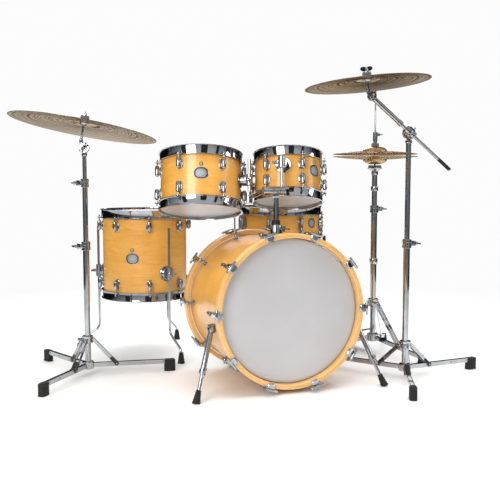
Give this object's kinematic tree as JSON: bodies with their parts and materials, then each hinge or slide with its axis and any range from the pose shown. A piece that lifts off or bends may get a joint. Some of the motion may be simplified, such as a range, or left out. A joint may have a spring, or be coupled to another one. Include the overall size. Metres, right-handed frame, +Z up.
{
  "type": "acoustic drum kit",
  "caption": "Acoustic kit in honey maple with bass drum, rack toms, floor tom, snare, hi-hat, straight and boom cymbal stands and a bass pedal.",
  "frame": {"origin": "on the floor under the middle of the kit's outline", "axes": "+Z up, -Y out of the bass drum's front head, +X to the right seen from the front"},
  "size_m": [1.7466, 1.3076, 1.1603],
  "materials": {
    "maple_shell": "satin honey stain",
    "maple_hoop": "satin natural",
    "head_film": "coated film",
    "hoop_chrome": "polished",
    "cymbal_bronze": "lathed bronze",
    "hardware_chrome": "polished"
  },
  "bodies": {
    "kit": {"bass_shell": "maple_shell", "bass_front_hoop": "maple_hoop", "bass_rear_hoop": "maple_hoop", "bass_front_head": "head_film", "bass_batter_head": "head_film", "tom_mount_bracket": "hardware_chrome", "floor_tom_shell": "maple_shell", "floor_tom_top_hoop": "hoop_chrome", "floor_tom_bottom_hoop": "hoop_chrome", "floor_tom_batter_head": "head_film", "floor_tom_resonant_head": "head_film", "snare_stand_base": "hardware_chrome", "hihat_base": "hardware_chrome", "ride_stand_base": "hardware_chrome", "crash_stand_base": "hardware_chrome", "pedal_frame": "hardware_chrome"},
    "spur_left": {"bass_spur_left": "hardware_chrome"},
    "spur_right": {"bass_spur_right": "hardware_chrome"},
    "tom_post": {"tom_mount_post": "hardware_chrome"},
    "arm_left": {"tom_arm_left": "hardware_chrome"},
    "arm_right": {"tom_arm_right": "hardware_chrome"},
    "tom_12": {"tom_12_shell": "maple_shell", "tom_12_top_hoop": "hoop_chrome", "tom_12_bottom_hoop": "hoop_chrome", "tom_12_batter_head": "head_film", "tom_12_resonant_head": "head_film", "tom_12_bracket": "hardware_chrome"},
    "tom_10": {"tom_10_shell": "maple_shell", "tom_10_top_hoop": "hoop_chrome", "tom_10_bottom_hoop": "hoop_chrome", "tom_10_batter_head": "head_film", "tom_10_resonant_head": "head_film", "tom_10_bracket": "hardware_chrome"},
    "floor_leg_1": {"floor_tom_leg_1": "hardware_chrome"},
    "floor_leg_2": {"floor_tom_leg_2": "hardware_chrome"},
    "floor_leg_3": {"floor_tom_leg_3": "hardware_chrome"},
    "snare": {"snare_basket": "hardware_chrome", "snare_shell": "maple_shell", "snare_top_hoop": "hoop_chrome", "snare_bottom_hoop": "hoop_chrome", "snare_batter_head": "head_film", "snare_resonant_head": "head_film", "snare_strainer": "hardware_chrome"},
    "throw_off": {"snare_throw_off": "hardware_chrome"},
    "hihat_upper": {"hihat_tube": "hardware_chrome", "hihat_bottom_cymbal": "cymbal_bronze"},
    "hihat_pull": {"hihat_rod": "hardware_chrome", "hihat_top_cymbal": "cymbal_bronze"},
    "hihat_pedal": {"hihat_footboard": "hardware_chrome"},
    "ride_middle": {"ride_middle_tube": "hardware_chrome"},
    "ride_upper": {"ride_upper_tube": "hardware_chrome"},
    "ride_tilter": {"ride_tilter": "hardware_chrome"},
    "ride_cymbal": {"ride_cymbal": "cymbal_bronze"},
    "crash_upper": {"crash_upper_tube": "hardware_chrome"},
    "boom_clamp": {"boom_clamp": "hardware_chrome"},
    "boom": {"boom_arm": "hardware_chrome"},
    "crash_tilter": {"crash_tilter": "hardware_chrome"},
    "crash_cymbal": {"crash_cymbal": "cymbal_bronze"},
    "pedal_board": {"pedal_footboard": "hardware_chrome"},
    "beater": {"pedal_beater": "hardware_chrome"}
  },
  "joints": [
    {"name": "spur_left_fold", "type": "hinge", "parent": "kit", "child": "spur_left", "pos_m": [-0.23034, -0.34836, 0.23435], "axis": [0.9816, 0.0057, 0.1907], "range_deg": [0, 105]},
    {"name": "spur_right_fold", "type": "hinge", "parent": "kit", "child": "spur_right", "pos_m": [0.31937, -0.34836, 0.23435], "axis": [0.9816, -0.0057, -0.1907], "range_deg": [0, 105]},
    {"name": "tom_post_height", "type": "slide", "parent": "kit", "child": "tom_post", "axis": [0, 0, 1], "range_m": [-0.012, 0.05]},
    {"name": "tom_12_tilt", "type": "hinge", "parent": "tom_post", "child": "arm_left", "pos_m": [0.00651, -0.24975, 0.709], "axis": [1, 0, 0], "range_deg": [-3, 10]},
    {"name": "tom_10_tilt", "type": "hinge", "parent": "tom_post", "child": "arm_right", "pos_m": [0.06751, -0.24975, 0.709], "axis": [1, 0, 0], "range_deg": [-3, 10]},
    {"name": "tom_12_swing", "type": "hinge", "parent": "arm_left", "child": "tom_12", "pos_m": [-0.01149, -0.11575, 0.68], "axis": [0.0758, 0.2208, 0.9724], "range_deg": [-12, 12]},
    {"name": "tom_10_swing", "type": "hinge", "parent": "arm_right", "child": "tom_10", "pos_m": [0.06751, -0.24975, 0.709], "axis": [0.0758, 0.2208, 0.9724], "range_deg": [-15, 2]},
    {"name": "floor_leg_1_height", "type": "slide", "parent": "kit", "child": "floor_leg_1", "axis": [0, 0, 1], "range_m": [0, 0.06]},
    {"name": "floor_leg_2_height", "type": "slide", "parent": "kit", "child": "floor_leg_2", "axis": [0, 0, 1], "range_m": [0, 0.06]},
    {"name": "floor_leg_3_height", "type": "slide", "parent": "kit", "child": "floor_leg_3", "axis": [0, 0, 1], "range_m": [0, 0.06]},
    {"name": "snare_height", "type": "slide", "parent": "kit", "child": "snare", "axis": [0, 0, 1], "range_m": [-0.04, 0.06]},
    {"name": "snare_throw_off", "type": "hinge", "parent": "snare", "child": "throw_off", "pos_m": [0.11904, 0.46973, 0.52], "axis": [-0.2521, -0.9677, 0], "range_deg": [0, 75]},
    {"name": "hihat_height", "type": "slide", "parent": "kit", "child": "hihat_upper", "axis": [0, 0, 1], "range_m": [-0.04, 0.08]},
    {"name": "hihat_rod_drop", "type": "slide", "parent": "hihat_upper", "child": "hihat_pull", "axis": [0, 0, 1], "range_m": [-0.008, 0], "stiffness_N_per_m": 2000, "springref_m": 0.03},
    {"name": "hihat_pedal", "type": "hinge", "parent": "kit", "child": "hihat_pedal", "pos_m": [0.53174, 0.32675, 0.016], "axis": [0.9361, 0.3518, 0], "range_deg": [0, 2.1]},
    {"name": "ride_middle_height", "type": "slide", "parent": "kit", "child": "ride_middle", "axis": [0, 0, 1], "range_m": [-0.03, 0.12]},
    {"name": "ride_upper_height", "type": "slide", "parent": "ride_middle", "child": "ride_upper", "axis": [0, 0, 1], "range_m": [-0.03, 0.12]},
    {"name": "ride_tilt", "type": "hinge", "parent": "ride_upper", "child": "ride_tilter", "pos_m": [-0.59949, 0.08725, 0.868], "axis": [0.3247, 0.9458, 0], "range_deg": [-15, 8]},
    {"name": "ride_spin", "type": "hinge", "parent": "ride_tilter", "child": "ride_cymbal", "pos_m": [-0.59564, 0.08811, 0.97515], "axis": [0.1829, 0.0372, 0.9824], "continuous": true},
    {"name": "crash_height", "type": "slide", "parent": "kit", "child": "crash_upper", "axis": [0, 0, 1], "range_m": [-0.03, 0.12]},
    {"name": "boom_tilt", "type": "hinge", "parent": "crash_upper", "child": "boom_clamp", "pos_m": [0.53651, -0.34175, 0.922], "axis": [0.3247, 0.9458, 0], "range_deg": [-12, 12]},
    {"name": "boom_slide", "type": "slide", "parent": "boom_clamp", "child": "boom", "axis": [-0.6977, 0.2392, 0.6753], "range_m": [0, 0.08]},
    {"name": "crash_tilt", "type": "hinge", "parent": "boom", "child": "crash_tilter", "pos_m": [0.38982, -0.32687, 1.05345], "axis": [0.3247, 0.9458, 0], "range_deg": [-15, 20]},
    {"name": "crash_spin", "type": "hinge", "parent": "crash_tilter", "child": "crash_cymbal", "pos_m": [0.36863, -0.32574, 1.12615], "axis": [-0.0728, 0.0562, 0.9958], "continuous": true},
    {"name": "pedal_beater", "type": "hinge", "parent": "kit", "child": "beater", "pos_m": [0.04451, 0.08625, 0.165], "axis": [1, 0, 0], "range_deg": [0, 54], "stiffness_Nm_per_rad": 0.8, "springref_deg": -28.65},
    {"name": "pedal_board", "type": "hinge", "parent": "kit", "child": "pedal_board", "pos_m": [0.04451, 0.28825, 0.024], "axis": [1, 0, 0], "range_deg": [0, 10]}
  ],
  "couplings": [
    {"joint": "hihat_pedal", "follows": "hihat_rod_drop", "rad_per_m": -4.4643},
    {"joint": "pedal_board", "follows": "pedal_beater", "ratio": 0.18}
  ]
}
